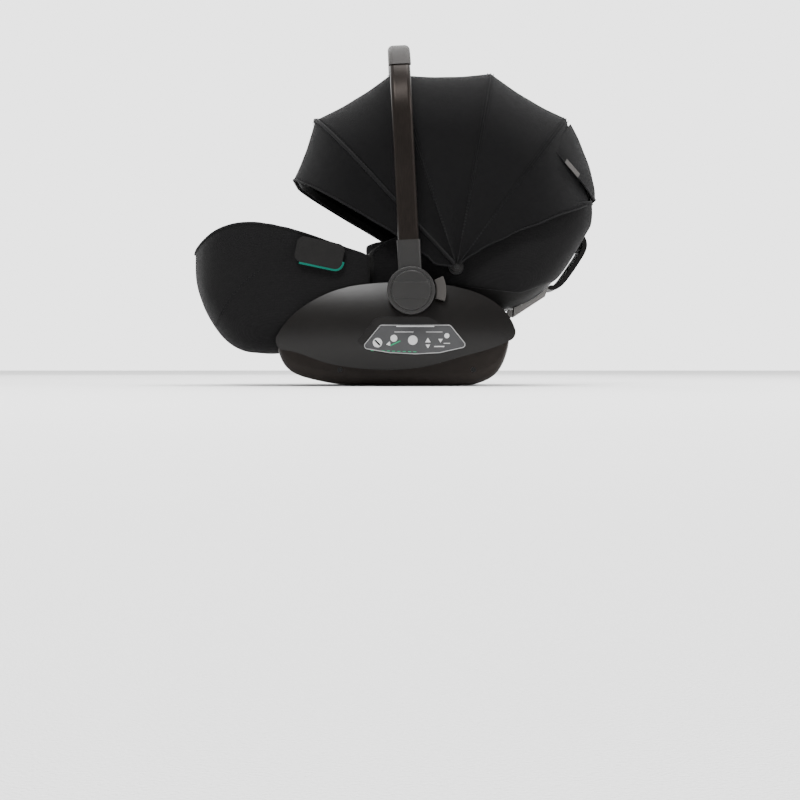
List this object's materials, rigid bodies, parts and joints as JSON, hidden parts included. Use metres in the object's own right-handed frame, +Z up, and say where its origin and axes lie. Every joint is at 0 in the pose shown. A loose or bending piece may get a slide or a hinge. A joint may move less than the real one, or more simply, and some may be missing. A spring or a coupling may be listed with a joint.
{
  "type": "infant car seat",
  "caption": "Rear-facing infant carrier with a rocker base, swinging U handle, lie-flat backrest, harness, belt guides and a folding canopy.",
  "frame": {"origin": "on the floor plane, under the flat middle of the rocker, on the centre plane", "axes": "+X to the head end, +Z up, the child's left side at -Y"},
  "size_m": [0.6639, 0.4424, 0.5602],
  "materials": {
    "shell_plastic": "textured satin black",
    "tray_plastic": "satin warm dark grey",
    "panel_plastic": "soft satin black",
    "label_film": "printed film with a light rim",
    "runner_rubber": "matt black",
    "steel": "brushed",
    "handle_metal": "dark anodised satin",
    "grip": "soft-touch grey",
    "hub_plastic": "satin black",
    "button_plastic": "satin mid grey",
    "press_plastic": "signal red",
    "key_plastic": "satin grey",
    "marker": "teal green",
    "rack_plastic": "ribbed light grey",
    "cover_fabric": "black melange weave",
    "canopy_fabric": "black plain weave",
    "pad_fabric": "grey soft jersey",
    "webbing": "woven black webbing",
    "tag_fabric": "plain grey tape",
    "bow_plastic": "black strip"
  },
  "bodies": {
    "carrier": {"base_tray": "tray_plastic", "rocker_runners": "runner_rubber", "latch_bars": "steel", "tray_screws": "steel", "side_panel_left": "panel_plastic", "side_panel_right": "panel_plastic", "label_plates": "label_film", "hub_mount_left": "shell_plastic", "hub_mount_right": "shell_plastic", "pivot_pins": "steel", "button_springs": "steel", "spring_seats": "shell_plastic", "leg_shell": "shell_plastic", "leg_cover": "cover_fabric", "seat_pan": "shell_plastic", "seat_pad": "pad_fabric", "lap_belt_guide_left": "shell_plastic", "lap_belt_guide_right": "shell_plastic", "belt_marks": "marker", "crotch_strap": "webbing", "buckle_body": "shell_plastic", "buckle_tongues": "steel", "adjuster_housing": "shell_plastic", "adjuster_strap": "webbing"},
    "backrest": {"back_shell": "shell_plastic", "back_cover": "cover_fabric", "back_pad": "pad_fabric", "side_bolsters": "pad_fabric", "recline_racks": "rack_plastic", "shoulder_belt_guide": "shell_plastic", "shoulder_strap_left": "webbing", "shoulder_strap_right": "webbing", "shoulder_pad_left": "pad_fabric", "shoulder_pad_right": "pad_fabric", "canopy_pins": "steel", "canopy_bow_rear": "bow_plastic", "canopy_rear_panel": "canopy_fabric", "canopy_flap": "canopy_fabric", "flap_tag": "tag_fabric"},
    "headrest": {"headrest_shell": "shell_plastic", "headrest_pad": "pad_fabric"},
    "canopy_middle_rear": {"canopy_bow_middle_rear": "bow_plastic", "canopy_panel_rear": "canopy_fabric"},
    "canopy_middle_front": {"canopy_bow_middle_front": "bow_plastic", "canopy_panel_middle": "canopy_fabric"},
    "canopy_front": {"canopy_bow_front": "bow_plastic", "canopy_panel_front": "canopy_fabric"},
    "visor": {"visor_bow": "bow_plastic", "visor_panel": "canopy_fabric"},
    "handle": {"handle_tube": "handle_metal", "handle_grip": "grip", "handle_hub_left": "hub_plastic", "handle_hub_right": "hub_plastic", "hub_cap_left": "hub_plastic", "hub_cap_right": "hub_plastic"},
    "button_left": {"handle_button_left": "button_plastic"},
    "button_right": {"handle_button_right": "button_plastic"},
    "harness_button": {"buckle_button": "press_plastic"},
    "adjuster_key": {"adjuster_button": "key_plastic"}
  },
  "joints": [
    {"name": "handle_swing", "type": "hinge", "parent": "carrier", "child": "handle", "pos_m": [0.019, 0, 0.151], "axis": [0, 1, 0], "range_deg": [-102, 106]},
    {"name": "handle_button_left_press", "type": "slide", "parent": "carrier", "child": "button_left", "axis": [0, 1, 0], "range_m": [0, 0.0035], "stiffness_N_per_m": 1500, "deforming": ["button_springs"]},
    {"name": "handle_button_right_press", "type": "slide", "parent": "carrier", "child": "button_right", "axis": [0, -1, 0], "range_m": [0, 0.0035], "stiffness_N_per_m": 1500},
    {"name": "backrest_recline", "type": "hinge", "parent": "carrier", "child": "backrest", "pos_m": [0.019, 0, 0.151], "axis": [0, -1, 0], "range_deg": [0, 16], "deforming": ["shoulder_strap_left", "shoulder_strap_right"]},
    {"name": "headrest_height", "type": "slide", "parent": "backrest", "child": "headrest", "axis": [0.989, 0, 0.1478], "range_m": [0, 0.045]},
    {"name": "canopy_fold", "type": "hinge", "parent": "backrest", "child": "canopy_middle_rear", "pos_m": [0.092, 0, 0.191], "axis": [0, 1, 0], "range_deg": [0, 20], "deforming": ["canopy_panel_rear"]},
    {"name": "canopy_fold_middle", "type": "hinge", "parent": "canopy_middle_rear", "child": "canopy_middle_front", "pos_m": [0.092, 0, 0.191], "axis": [0, 1, 0], "range_deg": [0, 20], "deforming": ["canopy_panel_middle"]},
    {"name": "canopy_fold_front", "type": "hinge", "parent": "canopy_middle_front", "child": "canopy_front", "pos_m": [0.092, 0, 0.191], "axis": [0, 1, 0], "range_deg": [0, 18], "deforming": ["canopy_panel_front"]},
    {"name": "visor_fold", "type": "hinge", "parent": "canopy_front", "child": "visor", "pos_m": [0.092, 0, 0.191], "axis": [0, 1, 0], "range_deg": [0, 10], "deforming": ["visor_panel"]},
    {"name": "buckle_press", "type": "slide", "parent": "carrier", "child": "harness_button", "axis": [0.4695, 0, -0.8829], "range_m": [0, 0.003], "stiffness_N_per_m": 1500},
    {"name": "adjuster_press", "type": "slide", "parent": "carrier", "child": "adjuster_key", "axis": [-0.4067, 0, -0.9135], "range_m": [0, 0.003], "stiffness_N_per_m": 1500}
  ],
  "couplings": [
    {"joint": "canopy_fold_middle", "follows": "canopy_fold", "ratio": 1},
    {"joint": "canopy_fold_front", "follows": "canopy_fold", "ratio": 0.9},
    {"joint": "visor_fold", "follows": "canopy_fold", "ratio": 0.5}
  ]
}
